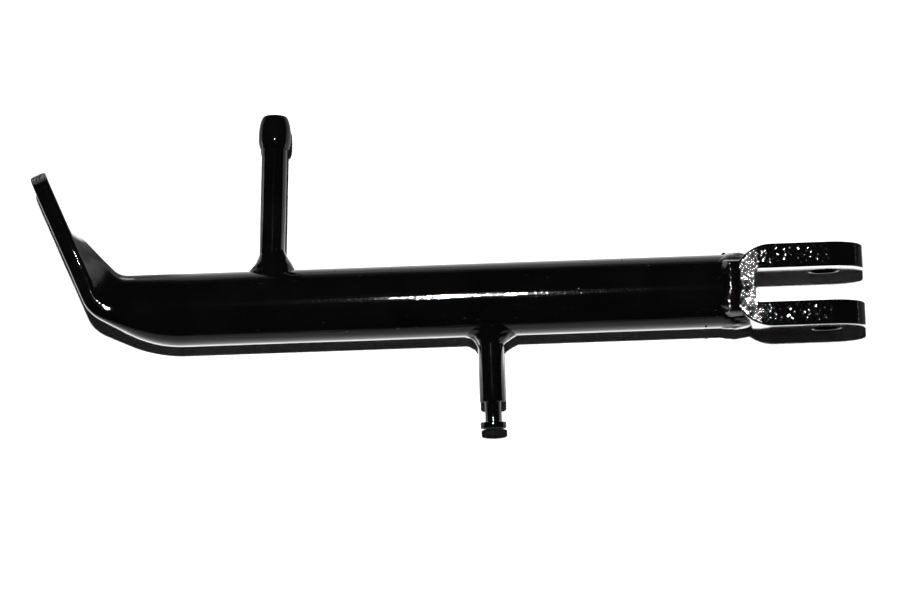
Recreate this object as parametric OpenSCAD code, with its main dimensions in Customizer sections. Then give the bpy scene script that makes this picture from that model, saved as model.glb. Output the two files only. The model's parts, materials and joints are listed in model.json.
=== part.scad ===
// Motorcycle side stand, lying on its side.
// Origin at the middle of the pivot bore. The leg tube runs along -X, the kick peg points to +Y.

/* [Leg tube] */
// Outside diameter of the leg tube
tube_od = 26; // [23:0.1:27]
// Wall of the leg tube
tube_wall = 3; // [2.4:0.1:3.6]
// Distance from the pivot bore to the start of the bend
bend_start = 226; // [210:1:300]
// Depth of the cope that seats the tube on the clevis
cope_depth = 3; // [1:0.5:5]

/* [Bend and foot] */
// Radius of the bend, on its outer side
bend_radius = 42; // [36:1:50]
// Turn of the bend before the press run, in degrees
bend_turn = 28; // [24:1:32]
// Straight run between the bend and the heel
press_run = 9; // [6:0.5:12]
// Radius of the heel, on its outer side
heel_radius = 13.5; // [10:0.5:18]
// Whole turn of the foot from the leg, in degrees
foot_turn = 67.5; // [64:0.5:74]
// Length of the sole from the heel to the tip
sole_length = 48.5; // [44:0.5:60]
// Width of the pressed foot
foot_width = 28; // [26:0.5:32]
// Corner radius at the tip of the foot
tip_corner = 5; // [3:0.5:8]
// Distance from the start of the bend to the crotch, on the inner side
crotch_back = 22.3; // [20:0.5:26]
// Radius of the crotch
crotch_radius = 7; // [4:0.5:10]
// Slope of the pressed ridge, in degrees
ridge_slope = 47; // [44:1:50]

/* [Clevis] */
// Thickness of the clevis strap
strap_t = 8.5; // [7:0.1:10]
// Gap between the ears
slot_gap = 11.8; // [10:0.1:14]
// Distance from the pivot bore to the closed end of the slot
slot_reach = 25.4; // [22:0.1:32]
// Corner radius at the closed end of the slot
slot_corner = 3; // [1:0.5:5]
// Width of the clevis strap, which is twice the radius of the ears
strap_width = 28; // [27:0.5:32]
// Diameter of the pivot bore
pivot_bore = 10.2; // [8:0.1:13]

/* [Kick peg] */
// Distance from the pivot bore to the kick peg
kick_place = 194.5; // [160:0.5:200]
// Diameter of the kick peg
kick_d = 9; // [8:0.1:11]
// Length of the kick peg above the tube
kick_length = 55.8; // [45:0.1:70]
// Lean of the kick peg towards the clevis, in degrees
kick_lean = 2.5; // [0:0.5:5]
// Diameter of the upset knob
knob_d = 11.4; // [11:0.1:13]
// Height of the upset knob
knob_h = 12.2; // [10:0.1:14]

/* [Spring peg] */
// Distance from the pivot bore to the spring peg
spring_place = 118; // [100:0.5:150]
// Diameter of the spring peg
spring_d = 9.1; // [8:0.1:11]
// Length of the full shank below the tube
shank_length = 23.2; // [16:0.1:30]
// Diameter of the spring groove
groove_d = 5.6; // [4.5:0.1:7]
// Length of the spring groove
groove_length = 7; // [5:0.1:9]
// Thickness of the retaining head
head_t = 2.3; // [1.5:0.1:4]

/* [Welds] */
// Height of the bead at the clevis above the tube
bead_height = 0.85; // [0.5:0.05:0.95]
// Width of the bead at the clevis on the tube
bead_width = 7; // [5:0.5:9]
// Height of the fillet round the kick peg
kick_fillet_h = 6.5; // [5:0.1:8]
// Reach of the fillet round the kick peg
kick_fillet_w = 3.9; // [3:0.1:5]
// Height of the fillet round the spring peg
spring_fillet_h = 4.6; // [3.5:0.1:6]
// Reach of the fillet round the spring peg
spring_fillet_w = 4.9; // [4:0.1:6]

/* [Hidden] */
$fn = 96;

enamel = [0.05, 0.05, 0.055];
weld_enamel = [0.09, 0.09, 0.1];
sides = 40;
press_rings = 20;
corner_rings = 5;
cavity_rings = 13;

tube_r = tube_od / 2;
bore_r = tube_r - tube_wall;
// The foot is both walls of the tube pressed flat against each other
foot_t = 2 * tube_wall;
clevis_half = slot_gap / 2 + strap_t;
clevis_back = slot_reach + strap_t;
tube_end = clevis_back - cope_depth;

// The outer side of the bend: an arc, a straight run, the tighter heel, then the flat sole.
// Places are [distance past the start of the bend, height towards +Y].
function along(turn) = [cos(turn), sin(turn)];
function arc_move(r, from, to) = r * [sin(to) - sin(from), cos(from) - cos(to)];
function arc_length(r, turn) = r * turn * PI / 180;

bend_length = arc_length(bend_radius, bend_turn);
heel_length = arc_length(heel_radius, foot_turn - bend_turn);
run_from = bend_length;
heel_from = run_from + press_run;
sole_from = heel_from + heel_length;

outer_start = [0, -tube_r];
run_point = outer_start + arc_move(bend_radius, 0, bend_turn);
heel_point = run_point + press_run * along(bend_turn);
sole_point = heel_point + arc_move(heel_radius, bend_turn, foot_turn);

function outer_turn(s) =
    s < run_from ? s / bend_length * bend_turn
    : s < heel_from ? bend_turn
    : s < sole_from ? bend_turn + (s - heel_from) / heel_length * (foot_turn - bend_turn)
    : foot_turn;
function outer_place(s) =
    s < run_from ? outer_start + arc_move(bend_radius, 0, outer_turn(s))
    : s < heel_from ? run_point + (s - run_from) * along(bend_turn)
    : s < sole_from ? heel_point + arc_move(heel_radius, bend_turn, outer_turn(s))
    : sole_point + (s - sole_from) * along(foot_turn);

// The inner side: the tube runs on straight to the crotch, then its pressed ridge falls to the foot
crotch_tangent = crotch_radius * tan(ridge_slope / 2);
inner_start = [0, tube_r];
crotch_from = crotch_back - crotch_tangent;
crotch_length = arc_length(crotch_radius, ridge_slope);
ridge_from = crotch_from + crotch_length;
crotch_point = inner_start + [crotch_from, 0];
ridge_point = crotch_point + arc_move(crotch_radius, 0, ridge_slope);
foot_normal = [-sin(foot_turn), cos(foot_turn)];
ridge_length = (foot_t - (ridge_point - sole_point) * foot_normal) / (along(ridge_slope) * foot_normal);
inner_length = ridge_from + ridge_length;
ridge_end = ridge_point + ridge_length * along(ridge_slope);

function inner_turn(s) = (s - crotch_from) / crotch_length * ridge_slope;
function inner_place(s) =
    s < crotch_from ? inner_start + [s, 0]
    : s < ridge_from ? crotch_point + arc_move(crotch_radius, 0, inner_turn(s))
    : ridge_point + (s - ridge_from) * along(ridge_slope);

flat_from = sole_from + (ridge_end - sole_point) * along(foot_turn);
sole_end = sole_from + sole_length;

// A section stands on the outer side at s and leans towards the inner side.
// Where it leans, its depth is stretched so that the walls keep their thickness.
press_start = 0.08;
press_done = 0.62;
ridge_round = 0.33;
// The die squares the rims of the foot: 1 is a round fold, and a smaller power is squarer
rim_power = 0.5;
slit_r = 0.2;
half_step = 180 / sides;

function ease(t) = let(c = min(max(t, 0), 1)) c * c * (3 - 2 * c);
function unit(v) = v / norm(v);

// Half of a round or squashed tube's section, by the angle of a point round it
function round_point(a, depth, skin) =
    [depth / 2 + (depth / 2 - skin) * sin(a), (tube_r - skin) * cos(a)];

// A pressed section: two rim folds, and the ridge where the tube isn't shut yet
function squared(c) = sign(c) * pow(abs(c) / cos(half_step), rim_power);
function pressed_point(a, depth, width, skin) =
    let(
        rim_r = max(foot_t / 2 - skin, slit_r),
        rim_z = width / 2 - foot_t / 2,
        top_r = foot_t / 2 + ridge_round * (depth - foot_t),
        ridge_reach = (depth - top_r) * sin(a) + top_r,
        rim_reach = foot_t / 2 * sin(a) + foot_t / 2 + rim_z * abs(cos(a))
    )
    ridge_reach > rim_reach
    ? [depth - top_r + (top_r - skin) * sin(a), (top_r - skin) * cos(a)]
    : [foot_t / 2 + rim_r * squared(sin(a)), sign(cos(a)) * rim_z + rim_r * squared(cos(a))];

function section(foot, lean, depth, stretch, press, width, skin) = [
    for (i = [0:sides - 1])
        let(
            a = (i + 0.5) * 360 / sides,
            p = (1 - press) * round_point(a, depth, skin) + press * pressed_point(a, depth, width, skin),
            xy = foot + lean * p[0] * stretch
        )
        [-xy[0], xy[1], p[1]]
];

function press_section(f, skin) =
    let(
        s = f * flat_from,
        foot = outer_place(s),
        reach = inner_place(f * inner_length) - foot,
        lean = unit(reach),
        square = [-sin(outer_turn(s)), cos(outer_turn(s))],
        straightness = lean * square,
        press = ease((f - press_start) / (press_done - press_start))
    )
    section(foot, lean, norm(reach) * straightness, 1 / straightness, press, foot_width, skin);

function tip_width(s) =
    let(into = max(s - (sole_end - tip_corner), 0))
    foot_width - 2 * (tip_corner - sqrt(max(tip_corner * tip_corner - into * into, 0)));

function sole_section(s) = section(outer_place(s), foot_normal, foot_t, 1, 1, tip_width(s), 0);

function tube_section(x, skin) = [
    for (p = section([0, -tube_r], [0, 1], tube_od, 1, 0, foot_width, skin)) [x, p[1], p[2]]
];

// The pressed shut foot begins where the walls would meet
cavity_end = 0.9;

outer_rings = concat(
    [tube_section(bend_start - tube_end, 0)],
    [for (k = [0:press_rings]) press_section(k / press_rings, 0)],
    [for (k = [0:corner_rings]) sole_section(sole_end - tip_corner * cos(90 * k / corner_rings))]
);
inner_rings = concat(
    [tube_section(bend_start - tube_end, tube_wall)],
    [for (k = [0:cavity_rings]) press_section(cavity_end * k / cavity_rings, tube_wall)]
);

function band(first, flip) = [
    for (i = [0:sides - 1])
        let(j = (i + 1) % sides, a = first + i, b = first + j, c = first + sides + j, d = first + sides + i)
        each flip ? [[a, b, c], [a, c, d]] : [[a, c, b], [a, d, c]]
];

module leg_body() {
    outer_count = len(outer_rings);
    inner_count = len(inner_rings);
    inner_first = outer_count * sides;
    mouth = [
        for (i = [0:sides - 1])
            let(j = (i + 1) % sides)
            each [[i, j, inner_first + j], [i, inner_first + j, inner_first + i]]
    ];
    tip = [[for (i = [0:sides - 1]) (outer_count - 1) * sides + i]];
    shut = [[for (i = [sides - 1:-1:0]) inner_first + (inner_count - 1) * sides + i]];
    points = [for (ring = concat(outer_rings, inner_rings)) each ring];
    outside = [for (k = [0:outer_count - 2]) each band(k * sides, false)];
    inside = [for (k = [0:inner_count - 2]) each band(inner_first + k * sides, true)];
    translate([-bend_start, 0, 0])
        polyhedron(points = points, faces = concat(outside, inside, mouth, tip, shut));
}

module back_round() {
    translate([clevis_half - clevis_back, 0, 0])
        cylinder(r = clevis_half, h = strap_width, center = true);
}

module leg_tube() {
    color(enamel)
        difference() {
            leg_body();
            back_round();
        }
}

// The clevis: a strap bent into a U, with round ears
module strap_profile() {
    difference() {
        union() {
            translate([clevis_half - clevis_back, 0])
                circle(r = clevis_half);
            translate([clevis_half - clevis_back, -clevis_half])
                square([clevis_back - clevis_half + strap_width / 2, 2 * clevis_half]);
        }
        translate([slot_corner - slot_reach, -slot_gap / 2])
            square([slot_reach + strap_width, slot_gap]);
        translate([-slot_reach, slot_corner - slot_gap / 2])
            square([slot_reach + strap_width, slot_gap - 2 * slot_corner]);
        for (side = [-1, 1])
            translate([slot_corner - slot_reach, side * (slot_gap / 2 - slot_corner)])
                circle(r = slot_corner);
    }
}

module ear_outline() {
    circle(r = strap_width / 2);
    translate([-clevis_back - 1, -strap_width / 2])
        square([clevis_back + 1, strap_width]);
}

module clevis_blank() {
    intersection() {
        linear_extrude(height = strap_width, center = true) strap_profile();
        rotate([90, 0, 0])
            linear_extrude(height = 2 * clevis_half + 2, center = true) ear_outline();
    }
}

module clevis() {
    color(enamel)
        difference() {
            clevis_blank();
            rotate([90, 0, 0])
                cylinder(d = pivot_bore, h = 2 * clevis_half + 2, center = true);
        }
}

module tube_space() {
    translate([-bend_start, 0, 0])
        rotate([0, 90, 0])
            cylinder(r = tube_r, h = bend_start - tube_end);
}

// Pegs are modelled standing on +Z, then turned to their side of the tube
module on_kick_side() {
    translate([-kick_place, tube_r, 0])
        rotate([0, 0, -kick_lean])
            rotate([-90, 0, 0])
                children();
}

module on_spring_side() {
    translate([-spring_place, -tube_r, 0])
        rotate([90, 0, 0])
            children();
}

// The knob steps out from the rod, swells to its belly, then closes in to a small flat top
knob_step = 0.35;
knob_foot_r = kick_d / 2 + knob_step;
knob_flat = 0.36;
knob_top_r = knob_d * knob_flat;
knob_belly = 0.42;
knob_shoulder = 1.35;
knob_steps = 12;

function knob_close(t) = pow((t - knob_belly) / (1 - knob_belly), knob_shoulder);
function knob_r(t) =
    t < knob_belly
    ? knob_foot_r + (knob_d / 2 - knob_foot_r) * sin(90 * t / knob_belly)
    : knob_top_r + (knob_d / 2 - knob_top_r) * cos(90 * knob_close(t));

// Both pegs are modelled down to this depth in the tube, and then cut to its outside
root = tube_r / 2;

module kick_rod() {
    translate([0, 0, -root])
        cylinder(d = kick_d, h = root + kick_length - knob_h / 2);
}

module kick_peg() {
    color(enamel)
        difference() {
            on_kick_side() {
                kick_rod();
                rotate_extrude()
                    polygon(concat(
                        [[0, kick_length - knob_h]],
                        [for (k = [0:knob_steps])
                            [knob_r(k / knob_steps), kick_length - knob_h * (1 - k / knob_steps)]],
                        [[0, kick_length]]
                    ));
            }
            tube_space();
        }
}

edge_break = 0.4;
groove_top = shank_length + groove_length;
spring_end = groove_top + head_t;

module spring_rod() {
    shank_r = spring_d / 2;
    groove_r = groove_d / 2;
    rotate_extrude()
        polygon([
            [0, -root],
            [shank_r, -root],
            [shank_r, shank_length - edge_break],
            [shank_r - edge_break, shank_length],
            [groove_r, shank_length],
            [groove_r, groove_top],
            [shank_r - edge_break, groove_top],
            [shank_r, groove_top + edge_break],
            [shank_r, spring_end - edge_break],
            [shank_r - edge_break, spring_end],
            [0, spring_end]
        ]);
}

module spring_peg() {
    color(enamel)
        difference() {
            on_spring_side() spring_rod();
            tube_space();
        }
}

// A closed ring of profiles, each a closed loop of the same number of points
module ring_of_profiles(profiles) {
    count = len(profiles);
    around = len(profiles[0]);
    polyhedron(
        points = [for (profile = profiles) each profile],
        faces = [
            for (i = [0:count - 1], k = [0:around - 1])
                let(
                    i2 = (i + 1) % count,
                    k2 = (k + 1) % around,
                    a = i * around + k,
                    b = i * around + k2,
                    c = i2 * around + k2,
                    d = i2 * around + k
                )
                each [[a, b, c], [a, c, d]]
        ]
    );
}

// The fillet round a peg follows the saddle where the peg stands on the tube.
// Its height ripples with the angle round the peg, and it has one larger lump.
fillet_around = 40;
face_steps = 7;
seat_steps = 5;
lump_spread = 24;
kick_ripples = 7;
kick_ripple = 0.03;
kick_lump_at = -20;
kick_lump = 0.22;
spring_ripples = 5;
spring_ripple = 0.06;
spring_lump_at = 15;
spring_lump = 0.3;
// A full face has a dish above 0, and a hollow one a dish below 0
kick_dish = 0.06;
spring_dish = -0.1;
// The seat is held off the round tube by less than the flat of a facet
seat_gap = 0.02;

function turned(a) = a - 360 * floor((a + 180) / 360);
function swell(a, ripples, ripple, lump_at, lump) =
    1 + ripple * sin(ripples * a) + ripple / 2 * cos((ripples + 4) * a)
    + lump * exp(-pow(turned(a - lump_at) / lump_spread, 2));
function saddle(r, a, lean) =
    (sqrt(tube_r * tube_r - pow(r * sin(a), 2)) - tube_r + r * cos(a) * sin(lean)) / cos(lean) + seat_gap;

function fillet_profile(a, peg_r, h, w, dish, lean, size) = concat(
    [for (k = [0:face_steps])
        let(t = k / face_steps, r = peg_r + w * (t + dish * sin(180 * t)))
        [r * cos(a), r * sin(a), saddle(r, a, lean) + h * (1 - t) * size]],
    [for (k = [1:seat_steps])
        let(r = peg_r + w * (1 - k / seat_steps))
        [r * cos(a), r * sin(a), saddle(r, a, lean)]]
);

module fillet(peg_d, h, w, dish, lean, ripples, ripple, lump_at, lump) {
    peg_r = peg_d / 2 / cos(180 / fillet_around);
    ring_of_profiles([
        for (i = [0:fillet_around - 1])
            let(a = 360 * i / fillet_around)
            fillet_profile(a, peg_r, h, w, dish, lean, swell(a, ripples, ripple, lump_at, lump))
    ]);
}

module weld_kick_peg() {
    color(weld_enamel)
        on_kick_side()
            fillet(kick_d, kick_fillet_h, kick_fillet_w, kick_dish, kick_lean,
                kick_ripples, kick_ripple, kick_lump_at, kick_lump);
}

module weld_spring_peg() {
    color(weld_enamel)
        on_spring_side()
            fillet(spring_d, spring_fillet_h, spring_fillet_w, spring_dish, 0,
                spring_ripples, spring_ripple, spring_lump_at, spring_lump);
}

// The bead at the clevis closes the wedge between the tube end and the round of the strap.
// It is a closed ring of profiles, fuller at the sides than above and below, where the stand lies.
bead_steps = 8;
bead_around = 60;
bead_side_swell = 0.9;
bead_ripples = 17;
bead_ripple = 0.06;
bead_fullness = 0.7;
// The bead starts a little under the outside of the tube, and sinks further down the strap's round
bead_foot = 0.1;
bead_sink = 0.5;
bead_lap = 0.6;
bead_from = tube_end + bead_width - bead_lap;
bead_to = clevis_half - clevis_back - sqrt(clevis_half * clevis_half - pow(tube_r - bead_sink, 2));

function bead_dip(a) = bead_ripple * (1 + sin(bead_ripples * a)) / 2;
function bead_bulge(a) = bead_height * (1 + bead_side_swell * pow(cos(a), 2)) * (1 - bead_dip(a));
function bead_profile(a) = concat(
    [[-bead_from, bore_r], [-bead_from, tube_r - tube_wall / 2]],
    [for (k = [0:bead_steps])
        let(t = k / bead_steps, rise = (bead_bulge(a) + bead_foot) * pow(sin(180 * t), bead_fullness))
        [-bead_from + (bead_to + bead_from) * t, tube_r - bead_foot + rise]],
    [[bead_to, bore_r]]
);

module bead_ring() {
    ring_of_profiles([
        for (i = [0:bead_around - 1])
            let(a = 360 * i / bead_around)
            [for (p = bead_profile(a)) [p[0], p[1] * cos(a), p[1] * sin(a)]]
    ]);
}

module weld_clevis() {
    color(weld_enamel)
        difference() {
            bead_ring();
            tube_space();
            clevis_blank();
        }
}

leg_tube();
clevis();
kick_peg();
spring_peg();
weld_clevis();
weld_kick_peg();
weld_spring_peg();
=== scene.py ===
import json
import math
import random

import bmesh
import bpy
import numpy as np
from mathutils import Matrix, Vector, noise


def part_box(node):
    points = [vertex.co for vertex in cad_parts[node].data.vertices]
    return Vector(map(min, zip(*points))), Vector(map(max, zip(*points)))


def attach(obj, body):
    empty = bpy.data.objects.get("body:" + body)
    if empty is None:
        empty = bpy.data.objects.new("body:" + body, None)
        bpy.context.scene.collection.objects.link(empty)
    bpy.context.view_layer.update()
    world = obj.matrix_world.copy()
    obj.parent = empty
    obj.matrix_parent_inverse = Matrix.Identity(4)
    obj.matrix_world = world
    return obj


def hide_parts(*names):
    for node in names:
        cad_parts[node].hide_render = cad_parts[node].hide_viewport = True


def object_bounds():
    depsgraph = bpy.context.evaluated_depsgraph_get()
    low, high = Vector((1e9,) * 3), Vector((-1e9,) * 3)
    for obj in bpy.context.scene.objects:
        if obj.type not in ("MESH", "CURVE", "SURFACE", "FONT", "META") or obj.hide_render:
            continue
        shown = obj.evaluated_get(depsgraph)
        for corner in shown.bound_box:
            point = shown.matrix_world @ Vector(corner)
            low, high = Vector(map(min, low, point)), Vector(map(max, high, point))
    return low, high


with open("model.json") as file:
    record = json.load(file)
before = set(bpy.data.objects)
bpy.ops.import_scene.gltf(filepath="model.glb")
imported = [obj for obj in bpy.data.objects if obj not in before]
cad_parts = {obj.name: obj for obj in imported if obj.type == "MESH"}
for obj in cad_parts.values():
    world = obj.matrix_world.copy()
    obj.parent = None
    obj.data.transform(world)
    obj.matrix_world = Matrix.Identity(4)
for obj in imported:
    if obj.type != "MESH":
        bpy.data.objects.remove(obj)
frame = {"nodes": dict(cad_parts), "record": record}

print("frame loaded:", ", ".join(sorted(frame["nodes"])))

mm = 0.001
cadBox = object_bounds()

# everything below is drawn in millimetres and turned into metres when a mesh is made


def boxInMm(node):
    low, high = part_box(node)
    return low / mm, high / mm


legLow, legHigh = boxInMm("leg_tube")
clevisLow, clevisHigh = boxInMm("clevis")
kickHigh = boxInMm("kick_peg")[1]
springLow = boxInMm("spring_peg")[0]
pivotBore = next(m for m in frame["record"]["mounts"] if m["name"] == "pivot_bore")


# small shared helpers

def ease(t):
    t = min(max(t, 0.0), 1.0)
    return t * t * (3 - 2 * t)


def along(turn):
    return np.array([math.cos(math.radians(turn)), math.sin(math.radians(turn))])


def arcMove(radius, start, end):
    start, end = math.radians(start), math.radians(end)
    return radius * np.array([math.sin(end) - math.sin(start), math.cos(start) - math.cos(end)])


def evenLoop(points, count):
    # the same closed loop with its points evenly spaced, starting where it started
    closed = np.vstack([points, points[:1]])
    steps = np.linalg.norm(np.diff(closed, axis=0), axis=1)
    length = np.concatenate([[0], np.cumsum(steps)])
    wanted = np.linspace(0, length[-1], count, endpoint=False)
    return np.column_stack([np.interp(wanted, length, closed[:, k]) for k in range(closed.shape[1])])


def wobble(place, size, seed=0.0):
    # smooth noise from about -1 to 1, with features of the given size in mm
    return noise.noise(Vector(place) / size + Vector((seed, 2.7 * seed, -1.3 * seed)))


class Mesh:
    # collects grids of quads, then becomes one object
    def __init__(self):
        self.verts = []
        self.faces = []

    def take(self, points):
        first = len(self.verts)
        self.verts.extend(tuple(float(c) for c in p) for p in points)
        return first

    def grid(self, rows, wrapRows=False, wrapColumns=False, flip=False):
        rowCount, columnCount = len(rows), len(rows[0])
        first = self.take(p for row in rows for p in row)
        for i in range(rowCount if wrapRows else rowCount - 1):
            here, there = first + i * columnCount, first + (i + 1) % rowCount * columnCount
            for j in range(columnCount if wrapColumns else columnCount - 1):
                j2 = (j + 1) % columnCount
                quad = [here + j, here + j2, there + j2, there + j]
                self.faces.append(quad[::-1] if flip else quad)

    def cap(self, ring, flip=False):
        first = self.take(ring)
        face = list(range(first, first + len(ring)))
        self.faces.append(face[::-1] if flip else face)

    def add(self, verts, faces):
        first = self.take(verts)
        self.faces.extend([first + k for k in face] for face in faces)

    def make(self, name, node, slotName, material, sharpAngle=38, join=0.002):
        mesh = bpy.data.meshes.new(name)
        mesh.from_pydata([(x * mm, y * mm, z * mm) for x, y, z in self.verts], [], self.faces)
        work = bmesh.new()
        work.from_mesh(mesh)
        bmesh.ops.remove_doubles(work, verts=work.verts, dist=join * mm)
        bmesh.ops.dissolve_degenerate(work, edges=work.edges, dist=join * mm / 4)
        bmesh.ops.recalc_face_normals(work, faces=work.faces)
        work.to_mesh(mesh)
        work.free()
        mesh.polygons.foreach_set("use_smooth", [True] * len(mesh.polygons))
        mesh.set_sharp_from_angle(angle=math.radians(sharpAngle))
        mesh.materials.append(material)
        piece = bpy.data.objects.new(name, mesh)
        bpy.context.scene.collection.objects.link(piece)
        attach(piece, "root")
        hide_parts(node)
        print(name, "made,", len(mesh.vertices), "vertices")


def dropVerts(centre, normal, radius, height, rings=4, around=12):
    # a low round drop on a surface: a bead of spatter, or a nib of dust under the enamel
    normal = Vector(normal).normalized()
    side = normal.orthogonal().normalized()
    other = normal.cross(side)
    verts, faces = [], []
    for k in range(rings + 1):
        t = k / rings
        level = height * math.sin(t * math.pi / 2) - radius * 0.25 * (1 - t)
        reach = radius * math.cos(t * math.pi / 2)
        if k == rings:
            verts.append(Vector(centre) + normal * level)
            break
        for j in range(around):
            a = 2 * math.pi * j / around
            verts.append(Vector(centre) + (side * math.cos(a) + other * math.sin(a)) * reach + normal * level)
    for k in range(rings - 1):
        for j in range(around):
            j2 = (j + 1) % around
            faces.append([k * around + j, k * around + j2, (k + 1) * around + j2, (k + 1) * around + j])
    top = rings * around
    last = top - around
    faces.extend([last + j, last + (j + 1) % around, top] for j in range(around))
    faces.append(list(range(around))[::-1])
    return verts, faces


class Nodes:
    # an emptied node tree, filled by add(): the sockets get values, or outputs of other nodes
    def __init__(self, owner):
        owner.use_nodes = True
        self.tree = owner.node_tree
        self.tree.nodes.clear()

    def fill(self, made, sockets):
        for socket, value in sockets.items():
            if isinstance(value, bpy.types.NodeSocket):
                self.tree.links.new(value, made.inputs[socket])
            else:
                made.inputs[socket].default_value = value

    def add(self, kind, sockets={}, operation=""):
        made = self.tree.nodes.new("ShaderNode" + kind)
        if operation:
            made.operation = operation
        self.fill(made, sockets)
        return made

    def grain(self, place, scale, detail):
        return self.add("TexNoise", {"Vector": place, "Scale": scale, "Detail": detail}).outputs["Fac"]

    def bump(self, height, distance):
        return self.add("Bump", {"Height": height, "Distance": distance, "Strength": 1})

    def ranged(self, value, start, end, atStart=0, atEnd=1, smooth=False):
        made = self.add("MapRange", {"From Min": start, "From Max": end, "To Min": atStart, "To Max": atEnd})
        made.interpolation_type = "SMOOTHSTEP" if smooth else "LINEAR"
        self.fill(made, {"Value": value})
        return made.outputs["Result"]


# camera and light

cameraSet = {
    "lookAt": (-131.8, 0.35, 0.0),   # the point in the middle of the picture, mm
    "distance": 900.0,
    "tilt": 7.68,                    # degrees off straight down, towards the spring peg
    "sideTilt": 1.27,                # and towards the clevis
    "roll": 2.03,                    # the stand climbs this much to the right
    "lens": 102.1,
}

lightSet = {
    "keyPlace": (-140.0, 146.0, 1300.0),   # mm, above the camera and a little behind it
    "keySize": 36.0,
    "keyPower": 22.0,
    "ambient": 0.004,
    "floorColour": 0.93,
    "floorSeen": 1.22,               # how much paler the floor shows than it lights
    "fadeStart": 0.30,               # metres from the middle where the floor turns plain white
    "fadeEnd": 0.55,
    "floorReach": 6.0,
    # painted light on the board, seen only in the enamel's reflections, by metres across the stand: brightest
    # near the stand and darkening outwards, a painted stand-in for the lamp's pool of light
    "mirrored": [(-0.26, 0.06), (-0.148, 0.2), (-0.10, 0.29), (-0.06, 0.29), (-0.049, 0.31), (-0.040, 0.47),
                 (-0.033, 0.62), (-0.029, 0.7), (-0.0245, 0.9), (-0.0205, 1.7), (0.0, 1.8), (0.017, 1.3),
                 (0.021, 0.85), (0.028, 0.7), (0.034, 0.54), (0.044, 0.4), (0.056, 0.34),
                 (0.075, 0.27), (0.109, 0.09), (0.187, 0.03)],
    "mirroredEnds": (0.165, 0.32),   # and a painted falloff along it, from the middle, down to this share
    "mirroredLeast": 0.05,
    "paintedFootGlow": (-274.0, 51.0),      # mm, a painted bright glow on the board, seen only in the reflection on the inside of the foot
    "footGlowReach": (21.0, 26.0),
    "footGlowLevel": 1.7,
    # painted shade spots on the board, seen only in the enamel's reflections: x and y in mm, where full, where
    # over, level
    "paintedShadeSpots": [(-250.0, 26.0, 14.0, 27.0, 0.3),      # painted shade between the foot and the tube
                 (75.0, 0.0, 45.0, 54.0, 0.06)],        # painted shade beyond the ears
}


def grey(level):
    return (level, level, level, 1)


def makeCamera():
    roll, tilt = math.radians(cameraSet["roll"]), math.radians(cameraSet["tilt"])
    sideTilt = math.radians(cameraSet["sideTilt"])
    right = Vector((math.cos(roll), -math.sin(roll), 0))
    up = Vector((math.sin(roll), math.cos(roll), 0))
    back = Vector((0, 0, 1)) * math.cos(tilt) - up * math.sin(tilt)
    back = (back * math.cos(sideTilt) + right * math.sin(sideTilt)).normalized()
    right = (right - back * right.dot(back)).normalized()
    lookAt = Vector(cameraSet["lookAt"]) * mm
    data = bpy.data.cameras.new("camera")
    data.lens = cameraSet["lens"]
    data.sensor_width = 36
    data.clip_start, data.clip_end = 0.01, 50
    camera = bpy.data.objects.new("camera", data)
    bpy.context.scene.collection.objects.link(camera)
    camera.location = lookAt + back * cameraSet["distance"] * mm
    tall = back.cross(right)
    camera.rotation_euler = Matrix((right, tall, back)).transposed().to_euler()
    bpy.context.scene.camera = camera


def makeLight():
    data = bpy.data.lights.new("key", "AREA")
    data.shape = "DISK"
    data.size = lightSet["keySize"] * mm
    data.energy = lightSet["keyPower"]
    key = bpy.data.objects.new("key", data)
    bpy.context.scene.collection.objects.link(key)
    key.location = Vector(lightSet["keyPlace"]) * mm
    aim = Vector(cameraSet["lookAt"]) * mm - key.location
    key.rotation_euler = aim.to_track_quat("-Z", "Y").to_euler()

    world = bpy.data.worlds.new("room")
    bpy.context.scene.world = world
    nodes = Nodes(world)
    seen = nodes.add("LightPath").outputs["Is Camera Ray"]
    dim = nodes.add("Background", {"Color": grey(1), "Strength": lightSet["ambient"]})
    pale = nodes.add("Background", {"Color": grey(1), "Strength": 1})
    mix = nodes.add("MixShader", {"Fac": seen, 1: dim.outputs[0], 2: pale.outputs[0]})
    nodes.add("OutputWorld", {"Surface": mix.outputs[0]})


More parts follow.
